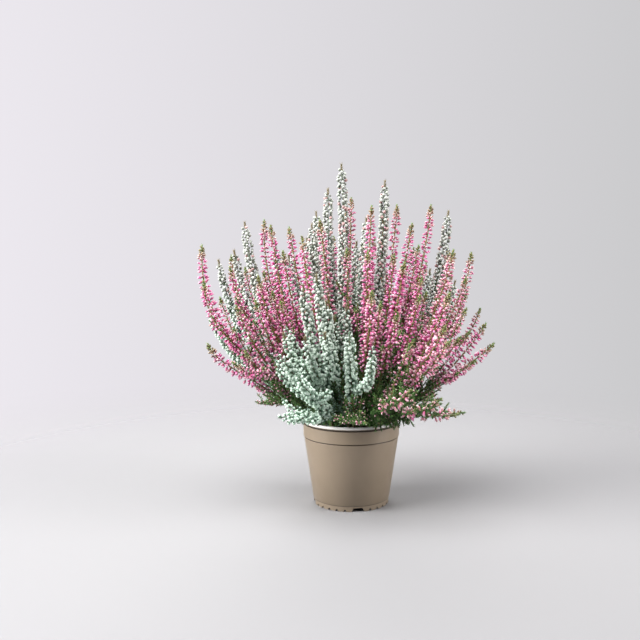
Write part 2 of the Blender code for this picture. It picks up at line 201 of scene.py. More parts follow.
def make_pot():
    pot = mesh_object("pot_shell", finished_mesh("pot_shell", turned(pot_profile(), POT_STEPS)))
    cutters = bpy.data.collections.new("pot cutters")
    quarter = 2 * math.pi / GAP_COUNT
    for number in range(GAP_COUNT):
        angle = GAP_FIRST_ANGLE + number * quarter
        skirt_cutter(GAP_FOOT_WIDTH, GAP_TOP_WIDTH, GAP_HEIGHT, angle, cutters)
        drain_cutter(angle, cutters)
        for step in range(NOTCHES_PER_QUARTER):
            offset = quarter * (step + 1.5) / (NOTCHES_PER_QUARTER + 2)
            skirt_cutter(NOTCH_WIDTH, NOTCH_WIDTH / 2, NOTCH_HEIGHT, angle + offset, cutters)
    cut = pot.modifiers.new("Cut", "BOOLEAN")
    cut.operand_type = "COLLECTION"
    cut.collection = cutters
    cut.solver = "EXACT"
    graph = bpy.context.evaluated_depsgraph_get()
    mesh = bpy.data.meshes.new_from_object(pot.evaluated_get(graph))
    pot.modifiers.clear()
    pot.data = mesh
    for cutter in list(cutters.objects):
        bpy.data.objects.remove(cutter)
    bpy.data.collections.remove(cutters)
    mesh.shade_smooth()
    mesh.set_sharp_from_angle(angle=math.radians(38))
    return pot


def mottle_group():
    """Shader group: two colours and a value that drift over the surface in soft cloudy patches."""
    group = bpy.data.node_groups.new("mottle", "ShaderNodeTree")
    socket = group.interface.new_socket
    socket("Color A", in_out="INPUT", socket_type="NodeSocketColor")
    socket("Color B", in_out="INPUT", socket_type="NodeSocketColor")
    socket("Scale", in_out="INPUT", socket_type="NodeSocketFloat")
    socket("Color", in_out="OUTPUT", socket_type="NodeSocketColor")
    socket("Value", in_out="OUTPUT", socket_type="NodeSocketFloat")
    nodes = group.nodes
    link = group.links.new
    given = nodes.new("NodeGroupInput")
    result = nodes.new("NodeGroupOutput")
    coords = nodes.new("ShaderNodeTexCoord")
    cloud = nodes.new("ShaderNodeTexNoise")
    cloud.inputs["Detail"].default_value = 5
    cloud.inputs["Roughness"].default_value = 0.6
    stretch = nodes.new("ShaderNodeMapRange")
    stretch.inputs["From Min"].default_value = 0.3
    stretch.inputs["From Max"].default_value = 0.7
    blend = nodes.new("ShaderNodeMix")
    blend.data_type = "RGBA"
    link(coords.outputs["Object"], cloud.inputs["Vector"])
    link(given.outputs["Scale"], cloud.inputs["Scale"])
    link(cloud.outputs["Fac"], stretch.inputs["Value"])
    link(stretch.outputs["Result"], blend.inputs["Factor"])
    link(given.outputs["Color A"], blend.inputs["A"])
    link(given.outputs["Color B"], blend.inputs["B"])
    link(blend.outputs["Result"], result.inputs["Color"])
    link(stretch.outputs["Result"], result.inputs["Value"])
    return group


mottle = mottle_group()


class Finish:
    """A material with its shader, and short ways to add and join its nodes."""

    def __init__(self, name, roughness):
        self.material = bpy.data.materials.new(name)
        self.material.use_nodes = True
        self.nodes = self.material.node_tree.nodes
        self.link = self.material.node_tree.links.new
        self.shader = self.nodes["Principled BSDF"]
        self.shader.inputs["Roughness"].default_value = roughness

    def add(self, kind, **values):
        node = self.nodes.new(kind)
        for name, value in values.items():
            node.inputs[name.replace("_", " ")].default_value = value
        return node

    def mottled(self, first, second, scale):
        node = self.nodes.new("ShaderNodeGroup")
        node.node_tree = mottle
        node.inputs["Color A"].default_value = (*first, 1)
        node.inputs["Color B"].default_value = (*second, 1)
        node.inputs["Scale"].default_value = scale
        return node

    def mix(self, factor, first, second, blend_type="MIX"):
        """Blend two colours, each a node's output or a plain colour."""
        node = self.nodes.new("ShaderNodeMix")
        node.data_type = "RGBA"
        node.blend_type = blend_type
        for value, slot in ((factor, "Factor"), (first, "A"), (second, "B")):
            if isinstance(value, bpy.types.NodeSocket):
                self.link(value, node.inputs[slot])
            elif slot == "Factor":
                node.inputs[slot].default_value = value
            else:
                node.inputs[slot].default_value = (*value, 1)
        return node.outputs["Result"]

    def remap(self, value, low, high, to_low=0.0, to_high=1.0):
        node = self.add("ShaderNodeMapRange", From_Min=low, From_Max=high, To_Min=to_low, To_Max=to_high)
        self.link(value, node.inputs["Value"])
        return node.outputs["Result"]

    def band(self, value, low, high, soft):
        """1 between low and high, with soft edges."""
        node = self.nodes.new("ShaderNodeMath")
        node.operation = "MULTIPLY"
        self.link(self.remap(value, low - soft, low), node.inputs[0])
        self.link(self.remap(value, high + soft, high), node.inputs[1])
        return node.outputs["Value"]

    def bump(self, scale, strength, distance, detail=3):
        coords = self.nodes.new("ShaderNodeTexCoord")
        grain = self.add("ShaderNodeTexNoise", Scale=scale, Detail=detail)
        relief = self.add("ShaderNodeBump", Strength=strength, Distance=distance)
        self.link(coords.outputs["Object"], grain.inputs["Vector"])
        self.link(grain.outputs["Fac"], relief.inputs["Height"])
        self.link(relief.outputs["Normal"], self.shader.inputs["Normal"])

    def height(self):
        """Height above the floor, from the object's own coordinates."""
        coords = self.nodes.new("ShaderNodeTexCoord")
        split = self.nodes.new("ShaderNodeSeparateXYZ")
        self.link(coords.outputs["Object"], split.inputs["Vector"])
        return split.outputs["Z"]


def taupe_plastic():
    finish = Finish("taupe plastic", 0.42)
    body = finish.mottled(TAUPE, TAUPE_DARK, 14)
    height = finish.height()
    lip_foot = POT_HEIGHT - LIP_HEIGHT
    # Painted highlight: the top of the rolled lip is painted near-white, where it catches the light from above.
    lip = finish.remap(height, lip_foot + 0.7 * MM, lip_foot + 1.3 * MM)
    foot = finish.remap(height, 9 * MM, 0, 0, 0.6)
    color = finish.mix(foot, body.outputs["Color"], (0.16, 0.125, 0.09))
    # Painted shade: thin dark lines under the lip, under the collar and over the skirt stand in for the shadow
    # beneath those steps.
    under_lip = finish.band(height, lip_foot - 1.5 * MM, lip_foot + 0.2 * MM, 0.5 * MM)
    under_collar = finish.band(height, COLLAR_FOOT - 1.0 * MM, COLLAR_FOOT, 0.3 * MM)
    over_skirt = finish.band(height, SKIRT_HEIGHT, SKIRT_HEIGHT + 0.2 * MM, 0.3 * MM)
    for groove in (under_lip, under_collar, over_skirt):
        color = finish.mix(groove, color, GROOVE_SHADE)
    finish.link(finish.mix(lip, color, LIP_HIGHLIGHT), finish.shader.inputs["Base Color"])
    gloss = finish.remap(body.outputs["Value"], 0, 1, 0.36, 0.5)
    finish.link(gloss, finish.shader.inputs["Roughness"])
    finish.bump(700, 0.06, 0.3 * MM)
    return finish.material


pot = make_pot()
pot.data.materials.clear()
pot.data.materials.append(taupe_plastic())
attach(pot, "root")
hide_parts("pot")

# Potting soil
# Dark peat, filled to about a centimetre below the lip. Its top is lumpy, with loose crumbs on it,
# and the stems come up out of it.

SOIL_EDGE = 83 * MM
SOIL_DOME = 2.5 * MM
SOIL_GAP = 0.45 * MM
SOIL_STEPS = 96
CRUMBS = 520
PEAT_DARK = (0.018, 0.010, 0.007)
PEAT_RED = (0.075, 0.034, 0.020)


def soil_height(x, y):
    share = math.hypot(x, y) / inner_radius(SOIL_EDGE)
    lumps = noise.noise(Vector((x, y, 0)) / (7 * MM)) + 0.6 * noise.noise(Vector((x, y, 0)) / (2.6 * MM))
    return SOIL_EDGE + SOIL_DOME * (1 - share**2) + 1.1 * MM * lumps


def make_soil():
    edge = inner_radius(SOIL_EDGE) - SOIL_GAP
    foot = FLOOR_TOP + SOIL_GAP
    rings = [(edge * share, SOIL_EDGE) for share in np.linspace(0, 1, 30)]
    profile = [*rings, (inner_radius(foot) - SOIL_GAP, foot), (0, foot)]
    bm = turned(profile, SOIL_STEPS)
    for vert in bm.verts:
        if vert.co.z > foot + MM:
            vert.co.z = soil_height(vert.co.x, vert.co.y)
    soil = mesh_object("peat_bed", finished_mesh("peat_bed", bm))
    soil.data.shade_smooth()
    soil.data.set_sharp_from_angle(angle=math.radians(50))
    return soil


def make_crumbs():
    """Loose crumbs of peat pressed into the top."""
    draw = random.Random(3)
    bm = bmesh.new()
    for _ in range(CRUMBS):
        away = math.sqrt(draw.random()) * (inner_radius(SOIL_EDGE) - 2 * MM)
        angle = draw.uniform(0, 2 * math.pi)
        x = away * math.cos(angle)
        y = away * math.sin(angle)
        size = draw.uniform(0.5, 1.7) * MM
        place = Matrix.Translation((x, y, soil_height(x, y) + 0.1 * MM))
        spin = Matrix.Rotation(draw.uniform(0, 6), 4, (draw.random(), draw.random(), 1))
        shape = Matrix.Diagonal((size * draw.uniform(0.8, 1.8), size, size * 0.8, 1))
        bmesh.ops.create_icosphere(bm, subdivisions=1, radius=1, matrix=place @ spin @ shape)
    return mesh_object("peat_crumbs", finished_mesh("peat_crumbs", bm))


def peat_finish():
    finish = Finish("peat", 0.95)
    earth = finish.mottled(PEAT_DARK, PEAT_RED, 260)
    finish.link(earth.outputs["Color"], finish.shader.inputs["Base Color"])
    finish.bump(1400, 0.8, 0.6 * MM)
    return finish.material


peat = peat_finish()
soil = make_soil()
crumbs = make_crumbs()
for piece in (soil, crumbs):
    piece.data.materials.append(peat)
    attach(piece, "root")
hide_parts("potting_soil")

# Crown
# Woody stems root in the soil and fan out. Each follows one line of a fan that opens from the soil
# to the dome of the crown, with one to three side spikes. The rule and its seed are the solids' own.

STEM_FOOT = 71 * MM
STEM_COLLAR = 87.5 * MM
ROOT_RING = 40 * MM
FAN_RING = 47 * MM
FAN_BASE = 90 * MM
RIM_RISE = 13 * MM
CROWN_HALF_WIDTH = 171 * MM
CROWN_HALF_DEPTH = 152 * MM
TOP_RISE = 284 * MM
EDGE_DROP = 85 * MM
SKIRT_DROP = 900 * MM
FAN_BEND = 1.8
FAN_OPENING = 1.2
SWAY = 0.013
FLOWER_START = 0.3
SPIKE_SPREAD = (0.11, 0.2)
SPIKE_JOIN = (0.26, 0.42)
SPIKE_REACH = 0.13
SPIKE_END = (0.68, 0.9)
PLACES_TRIED = 120
SEED = 7

# Tips of the shoots that shape the outline and the front: kind, x, y, z in millimetres,
# and the number of side spikes
SHAPING_SHOOTS = [
    ("silver", -11, 5, 379, 2),
    ("silver", -27, 45, 355, 1),
    ("silver", 38, 20, 362, 1),
    ("silver", -45, 25, 314, 2),
    ("silver", -122, 30, 316, 2),
    ("silver", -157, -10, 219, 2),
    ("silver", 112, 40, 329, 2),
    ("silver", -48, -95, 250, 2),
    ("silver", -36, -70, 259, 2),
    ("silver", -25, -90, 233, 2),
    ("silver", -2, -110, 204, 2),
    ("silver", -71, -110, 181, 2),
    ("silver", -51, -130, 164, 2),
    ("silver", -68, -65, 205, 1),
    ("silver", -62, -126, 118, 2),
    ("pink", 0, 60, 346, 2),
    ("pink", -34, -20, 317, 2),
    ("pink", -52, -45, 299, 1),
    ("pink", -72, 40, 311, 2),
    ("pink", -89, -5, 312, 2),
    ("pink", -156, -52, 290, 2),
    ("pink", -146, -85, 190, 1),
    ("pink", 22, -25, 332, 2),
    ("pink", 53, 45, 337, 2),
    ("pink", 67, -5, 314, 2),
    ("pink", 91, 30, 336, 1),
    ("pink", 111, -20, 285, 2),
    ("pink", 137, 25, 282, 2),
    ("pink", 153, 12, 202, 1),
    ("pink", 157, -20, 183, 1),
    ("pink", 21, -85, 244, 2),
    ("pink", 101, -75, 241, 2),
    ("pink", 93, -110, 211, 2),
    ("pink", 56, -50, 272, 2),
    ("pink", 57, -140, 152, 2),
    ("pink", 88, -125, 141, 1),
    ("pink", 108, -106, 121, 1),
    ("pink", -73, -35, 284, 1),
    ("pink", -98, -50, 258, 2),
    ("pink", -119, -68, 228, 1),
    ("silver", 12, 138, 262, 3),
]
BACK_SHOOTS = 9
BACK_SPIKES = 3
BACK_SHARES = (0.78, 0.97)
BACK_LIMIT = 0.93
SPRIG_COUNT = 8
SPRIG_RING = 1.16
SPRIG_SHARES = (0.16, 0.26)


def fan_point(u, v, share):
    """Place at this share of the fan line that starts at (u, v) in the unit disc of lines."""
    rho = np.hypot(u, v)
    spread = 1 - np.maximum(0, 1 - share**FAN_OPENING) ** (1 + FAN_BEND * rho)
    rise = TOP_RISE - EDGE_DROP * rho**2 - SKIRT_DROP * np.maximum(0, rho - 1)
    x = u * (FAN_RING + (CROWN_HALF_WIDTH - FAN_RING) * spread)
    y = v * (FAN_RING + (CROWN_HALF_DEPTH - FAN_RING) * spread)
    return np.stack([x, y, FAN_BASE + RIM_RISE * rho**2 + rise * share**1.1], axis=-1)


def fan_line_to(tip):
    """The (u, v, share) whose fan point is nearest to the tip."""
    rho, share = np.meshgrid(np.linspace(0, 1.2, 301), np.linspace(0.1, 1.2, 301))
    angle = math.atan2(tip[1] / CROWN_HALF_DEPTH, tip[0] / CROWN_HALF_WIDTH)
    for _ in range(4):
        points = fan_point(rho * math.cos(angle), rho * math.sin(angle), share)
        best = np.argmin(((points - tip) ** 2).sum(axis=-1))
        found = points.reshape(-1, 3)[best]
        angle += math.atan2(tip[1], tip[0]) - math.atan2(found[1], found[0])
    reach = rho.flat[best]
    return reach * math.cos(angle), reach * math.sin(angle), share.flat[best]


class Shoot:
    """One stem on its fan line, with the side spikes that branch from it."""

    def __init__(self, kind, u, v, share, phase, tip=None):
        self.kind = kind
        self.u = u
        self.v = v
        self.share = share
        self.phase = phase
        self.reach = min(SPIKE_REACH, 0.4 * share)
        self.spikes = []
        self.shift = np.zeros(3)
        if tip is not None:
            self.shift = tip - self.place(share)

    def place(self, share, spike=None):
        """Place at this share, on the stem or on the side spike (u, v, join, share)."""
        u = self.u
        v = self.v
        if spike:
            away = np.clip((share - spike[2]) / self.reach, 0, 1)
            away = away * away * (3 - 2 * away)
            u = u + (spike[0] - u) * away
            v = v + (spike[1] - v) * away
        sway = SWAY * np.clip(share / 0.25, 0, 1)
        u = u + sway * np.sin(6.5 * share + self.phase)
        v = v + sway * np.sin(5.5 * share + 2.3 * self.phase)
        pull = np.clip(share / self.share, 0, 1) ** 2
        return fan_point(u, v, share) + np.multiply.outer(pull, self.shift)

    def root(self, height):
        return np.array([self.u * ROOT_RING, self.v * ROOT_RING, height])


def plan_shoots():
    """All shoots: those with given tips, then the back by rule, then the rim's leafy sprigs."""
    draw = random.Random(SEED)
    shoots = []
    wanted = []
    for kind, x, y, z, count in SHAPING_SHOOTS:
        tip = np.array([x, y, z]) * MM
        u, v, share = fan_line_to(tip)
        shoots.append(Shoot(kind, u, v, share, draw.uniform(0, 6.28), tip))
        wanted.append(count)
    for number in range(BACK_SHOOTS):
        u, v = widest_gap(draw, shoots, back_of_disc)
        kind = "silver" if number % 3 == 0 else "pink"
        shoots.append(Shoot(kind, u, v, draw.uniform(*BACK_SHARES), draw.uniform(0, 6.28)))
        wanted.append(BACK_SPIKES)
    for number in range(SPRIG_COUNT):
        u, v = widest_gap(draw, shoots, rim_of_disc)
        shoots.append(Shoot("green", u, v, draw.uniform(*SPRIG_SHARES), draw.uniform(0, 6.28)))
        wanted.append(2)
    for shoot, count in zip(shoots, wanted):
        for _ in range(count):
            add_spike(draw, shoot, shoots)
    return shoots


def back_of_disc(draw):
    rho = BACK_LIMIT * math.sqrt(draw.random())
    angle = math.radians(draw.uniform(5, 175))
    return rho * math.cos(angle), rho * math.sin(angle)


def rim_of_disc(draw):
    angle = draw.uniform(0, 2 * math.pi)
    return SPRIG_RING * math.cos(angle), SPRIG_RING * math.sin(angle)


def fan_lines(shoots):
    """The (u, v) of every stem and side spike planned so far."""
    stems = [(shoot.u, shoot.v) for shoot in shoots]
    return stems + [spike[:2] for shoot in shoots for spike in shoot.spikes]


def distances(places, lines):
    """Distance from each place in the unit disc to the nearest of the fan lines."""
    return np.linalg.norm(places[:, None] - np.array(lines)[None], axis=-1).min(axis=1)


def widest_gap(draw, shoots, pick):
    """Of several places drawn with pick, the one furthest from all fan lines in use."""
    places = np.array([pick(draw) for _ in range(PLACES_TRIED)])
    return places[distances(places, fan_lines(shoots)).argmax()]


def add_spike(draw, shoot, shoots):
    """Branch one side spike into the free room beside the stem, across no other fan line."""
    stem = np.array([shoot.u, shoot.v])
    limit = max(1, np.linalg.norm(stem))
    places = []
    for _ in range(PLACES_TRIED):
        angle = draw.uniform(0, 2 * math.pi)
        away = draw.uniform(*SPIKE_SPREAD)
        place = stem + away * np.array([math.cos(angle), math.sin(angle)])
        places.append(place * min(1, limit / np.linalg.norm(place)))
    places = np.array(places)
    others = fan_lines([other for other in shoots if other is not shoot])
    own = fan_lines([shoot])
    crossing = distances((places + stem) / 2, others)
    room = np.minimum(distances(places, others), distances(places, own))
    u, v = places[np.minimum(room, crossing).argmax()]
    join = shoot.share * draw.uniform(*SPIKE_JOIN)
    shoot.spikes.append((u, v, join, shoot.share * draw.uniform(*SPIKE_END)))


class Spine:
    """A line through the middle of a stem, spike or twig, measured along its length."""

    def __init__(self, points, widest, blunt, bare=0.0):
        self.points = np.array(points)
        steps = np.linalg.norm(np.diff(self.points, axis=0), axis=1)
        self.lengths = np.concatenate([[0], np.cumsum(steps)])
        self.length = self.lengths[-1]
        self.widest = widest
        self.blunt = min(blunt, 0.5 * self.length)
        self.bare = bare

    def at(self, run):
        return np.stack([np.interp(run, self.lengths, axis) for axis in self.points.T], axis=-1)

    def along(self, run):
        step = 1.5 * MM
        ahead = self.at(np.minimum(run + step, self.length)) - self.at(np.maximum(run - step, 0))
        return ahead / np.linalg.norm(ahead, axis=-1, keepdims=True)

    def half_width(self, run):
        """Half width of the clothed part, which swells from its start and ends in a round tip."""
        share = np.clip((run - self.bare) / (self.length - self.bare), 0, 1)
        swell = (0.3 + 0.7 * np.sin(np.clip(share / 0.3, 0, 1) * math.pi / 2)) * (1 - 0.3 * share)
        left = np.clip((self.length - run) / self.blunt, 0, 1)
        return self.widest * swell * np.sqrt(1 - (1 - left) ** 2)

    def spread(self, per_length, start, stop):
        """Runs from start to stop with this many to the metre, as a function of the run."""
        runs = np.linspace(start, stop, 200)
        total = np.concatenate([[0], np.cumsum((per_length(runs[1:]) + per_length(runs[:-1])) / 2)])
        total *= (stop - start) / 199
        count = max(1, int(total[-1]))
        return np.interp((np.arange(count) + 0.5) * total[-1] / count, total, runs)


def frames_round(spine, runs, turns, lifts, start, widths, lengths, spins=0.0):
    """Frames of things that stand out from the spine, at these runs, turns, lifts and spins."""
    along = spine.along(runs)
    side = np.cross(along, (0.37, 0.81, 0.45))
    side /= np.linalg.norm(side, axis=-1, keepdims=True)
    other = np.cross(along, side)
    out = np.cos(turns)[:, None] * side + np.sin(turns)[:, None] * other
    axis = np.cos(lifts)[:, None] * out + np.sin(lifts)[:, None] * along
    third = np.cross(along, out)
    fourth = np.cross(axis, third)
    spins = np.reshape(spins, (-1, 1))
    third, fourth = (
        third * np.cos(spins) + fourth * np.sin(spins),
        fourth * np.cos(spins) - third * np.sin(spins),
    )
    place = spine.at(runs) + out * np.reshape(start, (-1, 1))
    widths = np.reshape(widths, (-1, 1))
    lengths = np.reshape(lengths, (-1, 1))
    return np.stack([third * widths, fourth * widths, axis * lengths, place], axis=-1)


class Spray:
    """One shoot's mesh as it grows. Each point has three marks: along, tone and ripeness."""

    def __init__(self):
        self.bm = bmesh.new()
        self.marks = []

    def add(self, mesh, marks):
        self.bm.from_mesh(mesh)
        self.marks.append(marks)

    def scatter(self, template, frames, tones, ripe):
        """Add a copy of the template mesh in each frame."""
        count = len(template.vertices)
        points = np.empty(count * 3)
        template.vertices.foreach_get("co", points)
        corners = np.c_[points.reshape(-1, 3), np.ones(count)]
        for place in frames:
            template.vertices.foreach_set("co", (corners @ place.T).ravel())
            self.bm.from_mesh(template)
        template.vertices.foreach_set("co", points)
        along = np.tile(corners[:, 2], len(frames))
        tones = np.repeat(np.broadcast_to(tones, len(frames)), count)
        ripe = np.repeat(np.broadcast_to(ripe, len(frames)), count)
        self.marks.append(np.stack([along, tones, ripe], axis=-1))

    def stems(self, spines, radii, slot, sides):
        """Tubes along the spines, each from its first radius to its last."""
        curve = bpy.data.curves.new("stems", "CURVE")
        curve.dimensions = "3D"
        curve.bevel_depth = 1
        curve.bevel_resolution = sides // 2 - 2
        curve.use_fill_caps = True
        for spine, (thick, thin) in zip(spines, radii):
            spline = curve.splines.new("POLY")
            spline.points.add(len(spine.points) - 1)
            taper = thick + (thin - thick) * spine.lengths / spine.length
            spline.points.foreach_set("co", np.c_[spine.points, np.ones(len(taper))].ravel())
            spline.points.foreach_set("radius", taper)
        holder = bpy.data.objects.new("stems", curve)
        bpy.context.scene.collection.objects.link(holder)
        graph = bpy.context.evaluated_depsgraph_get()
        mesh = bpy.data.meshes.new_from_object(holder.evaluated_get(graph))
        mesh.shade_smooth()
        mesh.polygons.foreach_set("material_index", [slot] * len(mesh.polygons))
        self.add(mesh, np.full((len(mesh.vertices), 3), 0.5))
        bpy.data.objects.remove(holder)
        bpy.data.curves.remove(curve)

    def finish(self, name, materials):
        mesh = finished_mesh(name, self.bm)
        marks = mesh.attributes.new("marks", "FLOAT_VECTOR", "POINT")
        marks.data.foreach_set("vector", np.concatenate(self.marks).ravel())
        for material in materials:
            mesh.materials.append(material)
        return mesh_object(name, mesh)


def shaped(bm, slot):
    """The bmesh as a smooth template mesh whose faces use this material slot."""
    mesh = finished_mesh("template", bm)
    mesh.shade_smooth()
    mesh.polygons.foreach_set("material_index", [slot] * len(mesh.polygons))
    return mesh


def teardrop(sides, rings, slot):
    """A closed drop from z 0 to 1, with a half width at each given height."""
    bm = bmesh.new()
    bmesh.ops.create_uvsphere(bm, u_segments=sides, v_segments=len(rings) + 1, radius=1)
    levels = sorted({round(vert.co.z, 4) for vert in bm.verts})
    heights = [0, *[height for height, _ in rings], 1]
    widths = [0, *[width for _, width in rings], 0]
    for vert in bm.verts:
        level = levels.index(round(vert.co.z, 4))
        flat = Vector((vert.co.x, vert.co.y)).normalized() * widths[level] if widths[level] else (0, 0)
        vert.co = (flat[0], flat[1], heights[level])
    return shaped(bm, slot)


def needle(slot):
    """One heather leaf from z 0 to 1: a small three-sided blade."""
    bm = bmesh.new()
    bmesh.ops.create_cone(
        bm, cap_ends=True, segments=3, radius1=1, radius2=0, depth=1,
        matrix=Matrix.Diagonal((1, 0.6, 1, 1)) @ Matrix.Translation((0, 0, 0.5)),
    )
    return shaped(bm, slot)


# Finishes of the shoots
# Young wood is olive to brown. Buds and leaves read the marks: along from root to tip of a bud,
# tone for its own lightness, and ripeness for how far its colour has come.


def marked(name, roughness):
    """A finish with the three marks as outputs."""
    finish = Finish(name, roughness)
    marks = finish.nodes.new("ShaderNodeAttribute")
    marks.attribute_name = "marks"
    split = finish.nodes.new("ShaderNodeSeparateXYZ")
    finish.link(marks.outputs["Vector"], split.inputs["Vector"])
    return finish, split.outputs["X"], split.outputs["Y"], split.outputs["Z"]


def ramp(finish, value, stops):
    node = finish.nodes.new("ShaderNodeValToRGB")
    elements = node.color_ramp.elements
    while len(elements) < len(stops):
        elements.new(0.5)
    for element, (place, color) in zip(elements, stops):
        element.position = place
        element.color = (*color, 1)
    finish.link(value, node.inputs["Fac"])
    return node.outputs["Color"]


def shaded(finish, color, tone, dark, light):
    """The colour made darker or lighter by the tone."""
    level = finish.remap(tone, 0, 1, dark, light)
    return finish.mix(1.0, color, level, "MULTIPLY")


def stem_finish(name, young, old):
    finish = Finish(name, 0.7)
    bark = finish.mottled(young, old, 90)
    low = finish.remap(finish.height(), 0.20, 0.10)
    brown = finish.mix(low, bark.outputs["Color"], (0.10, 0.055, 0.03))
    finish.link(brown, finish.shader.inputs["Base Color"])
    finish.bump(900, 0.4, 0.3 * MM)
    return finish.material


def silver_finish():
    finish, along, tone, ripe = marked("silver leaf buds", 0.75)
    # Each bead runs from a dark green base to a pale tip. The pale tip is its own colour. The dark base is partly
    # its own green and partly painted shade in the gaps where the beads crowd.
    grey = ramp(finish, along, [
        (0, (0.12, 0.15, 0.10)), (0.45, (0.28, 0.32, 0.26)), (0.75, (0.50, 0.53, 0.48)), (0.95, (0.60, 0.62, 0.58)),
    ])
    teal = ramp(finish, along, [
        (0, (0.02, 0.09, 0.04)), (0.45, (0.14, 0.28, 0.18)), (0.75, (0.53, 0.74, 0.59)), (0.95, (0.77, 0.94, 0.81)),
    ])
    low = finish.remap(finish.height(), 0.26, 0.13)
    color = finish.mix(low, grey, teal)
    color = finish.mix(ripe, color, (0.62, 0.30, 0.30))
    finish.link(shaded(finish, color, tone, 0.72, 1.0), finish.shader.inputs["Base Color"])
    finish.shader.inputs["Sheen Weight"].default_value = 0.2
    finish.bump(1500, 0.4, 0.4 * MM)
    return finish.material


def pink_finish():
    finish, along, tone, ripe = marked("pink flower buds", 0.5)
    pale = ramp(finish, along, [
        (0, (0.28, 0.30, 0.09)), (0.25, (0.80, 0.27, 0.36)), (0.6, (0.95, 0.44, 0.54)), (0.9, (1.0, 0.83, 0.78)),
    ])
    rich = ramp(finish, along, [
        (0, (0.24, 0.20, 0.06)), (0.25, (0.58, 0.05, 0.25)), (0.6, (0.92, 0.13, 0.45)), (0.9, (1.0, 0.50, 0.75)),
    ])
    color = finish.mix(ripe, pale, rich)
    unopened = finish.remap(ripe, -0.4, -0.75)
    color = finish.mix(unopened, color, (0.27, 0.25, 0.09))
    dusty = finish.remap(finish.height(), 0.27, 0.37, 0, 0.4)
    color = finish.mix(dusty, color, (0.78, 0.36, 0.34))
    finish.link(shaded(finish, color, tone, 0.5, 0.9), finish.shader.inputs["Base Color"])
    finish.bump(1200, 0.3, 0.3 * MM)
    return finish.material


def leaf_finish(name, dark, light):
    finish, along, tone, ripe = marked(name, 0.55)
    color = finish.mix(tone, dark, light)
    fresh = finish.remap(along, 0.3, 1.0, 0, 0.5)
    color = finish.mix(fresh, color, light)
    color = finish.mix(ripe, color, (0.17, 0.13, 0.06))
    finish.link(color, finish.shader.inputs["Base Color"])
    finish.bump(1500, 0.3, 0.3 * MM)
    return finish.material


wood = stem_finish("heather wood", (0.26, 0.23, 0.07), (0.30, 0.16, 0.06))
woolly_wood = stem_finish("woolly wood", (0.13, 0.18, 0.12), (0.16, 0.17, 0.10))
silver_buds = silver_finish()
pink_buds = pink_finish()
green_leaves = leaf_finish("green leaves", (0.006, 0.035, 0.010), (0.13, 0.30, 0.06))
silver_leaves = leaf_finish("silver leaves", (0.03, 0.10, 0.055), (0.30, 0.46, 0.34))

# Leafy side shoots
# Below the flowers each stem carries short side shoots of fine scale leaves, close and dark inside
# the crown. They leave the stem at all sides and curve upwards.

LEAF_WIDTH = 1.3 * MM
LEAVES_PER_METRE = 850
LOW_TIPS = 170 * MM
LYING_TIPS = 130 * MM
SPILL_TWIG = (24 * MM, 4.5 * MM, 8 * MM)


def clear_of_lip(twig):
    """Whether a twig passes over the pot's lip and not through its wall."""
    places = twig.at(np.linspace(0, twig.length, 24))
    away = np.hypot(places[:, 0], places[:, 1])
    at_wall = (away > inner_radius(POT_HEIGHT) - 3 * MM) & (away < LIP_RADIUS + 3 * MM)
    return not np.any(at_wall & (places[:, 2] < POT_HEIGHT + 2 * MM))


def laterals(draw, spine, first, last, spacing, size, bare, angles=(30, 55), rise=0.12):
    """Side shoots between two shares of the spine. Size is their length, half width and blunt tip."""
    longest, widest, blunt = size
    made = []
    turn = draw.uniform(0, 2 * math.pi)
    for run in np.arange(first * spine.length, last * spine.length, spacing):
        turn += math.radians(137.5) + draw.normal(0, 0.3)
        angle = math.radians(draw.uniform(*angles))
        length = longest * draw.uniform(0.6, 1.0) * (1 - 0.5 * run / spine.length)
        along = spine.along(np.array([run]))[0]
        out = frames_round(spine, np.array([run]), np.array([turn]), np.zeros(1), 0, 1, 1)[0][:, 2]
        out[2] = max(out[2], -0.2)
        steps = np.linspace(0, 1, 5)[:, None]
        sideways = out * math.sin(angle) * steps * (1.25 - 0.45 * steps)
        forwards = along * math.cos(angle) * steps * (0.8 + 0.3 * steps)
        line = spine.at(run) + length * (sideways + forwards)
        line[:, 2] += rise * length * steps[:, 0] ** 2
        twig = Spine(line, widest, blunt, bare * length)
        if clear_of_lip(twig):
            made.append(twig)
    return made


def cover_with_leaves(spray, draw, spine, leaf, first, last, density, tones, size=4.4 * MM):
    """Leaves round the spine, closer and shorter towards its tip."""
    count = max(2, int((last - first) * spine.length * LEAVES_PER_METRE * density))
    runs = (first + (last - first) * (np.arange(count) + 0.5) / count) * spine.length
    turns = np.arange(count) * math.radians(137.5) + draw.normal(0, 0.2, count)
    lifts = draw.uniform(0.5, 1.05, count)
    sizes = size * draw.uniform(0.7, 1.1, count) * (1 - 0.35 * runs / spine.length)
    frames = frames_round(spine, runs, turns, lifts, 0, LEAF_WIDTH * sizes / size, sizes)
    spray.scatter(leaf, frames, draw.uniform(*tones, count), 0)


# Silver shoots
# Foliage heather, whose spikes are covered with short pale leaf buds, packed like beads round a
# dark core, and end in a fine olive point.

BEAD_LENGTH = 4.9 * MM
BEAD_WIDTH = 2.4 * MM
BEAD_CELL = 19 * MM * MM
SILVER_MAIN = (8.2 * MM, 26 * MM)
SILVER_SIDE = (6.6 * MM, 20 * MM)
SILVER_SHORT = (26 * MM, 4.4 * MM, 9 * MM)
SILVER_LOW = (46 * MM, 5 * MM, 12 * MM)
SILVER_TWIG = (34 * MM, 3 * MM, 8 * MM)
TALL_TIPS = 220 * MM


def bead_template():
    """A leaf bud from z 0 to 1: a rosette with three lobes round it and three smaller on top."""
    bead = teardrop(6, [(0.36, 0.72), (0.7, 1), (0.92, 0.66)], 1)
    for vert in bead.vertices:
        lobe = round(math.atan2(vert.co.y, vert.co.x) / (math.pi / 3)) % 2
        if 0.5 < vert.co.z < 1 and lobe == (vert.co.z > 0.8):
            vert.co.x *= 0.78
            vert.co.y *= 0.78
            vert.co.z -= 0.12
    return bead


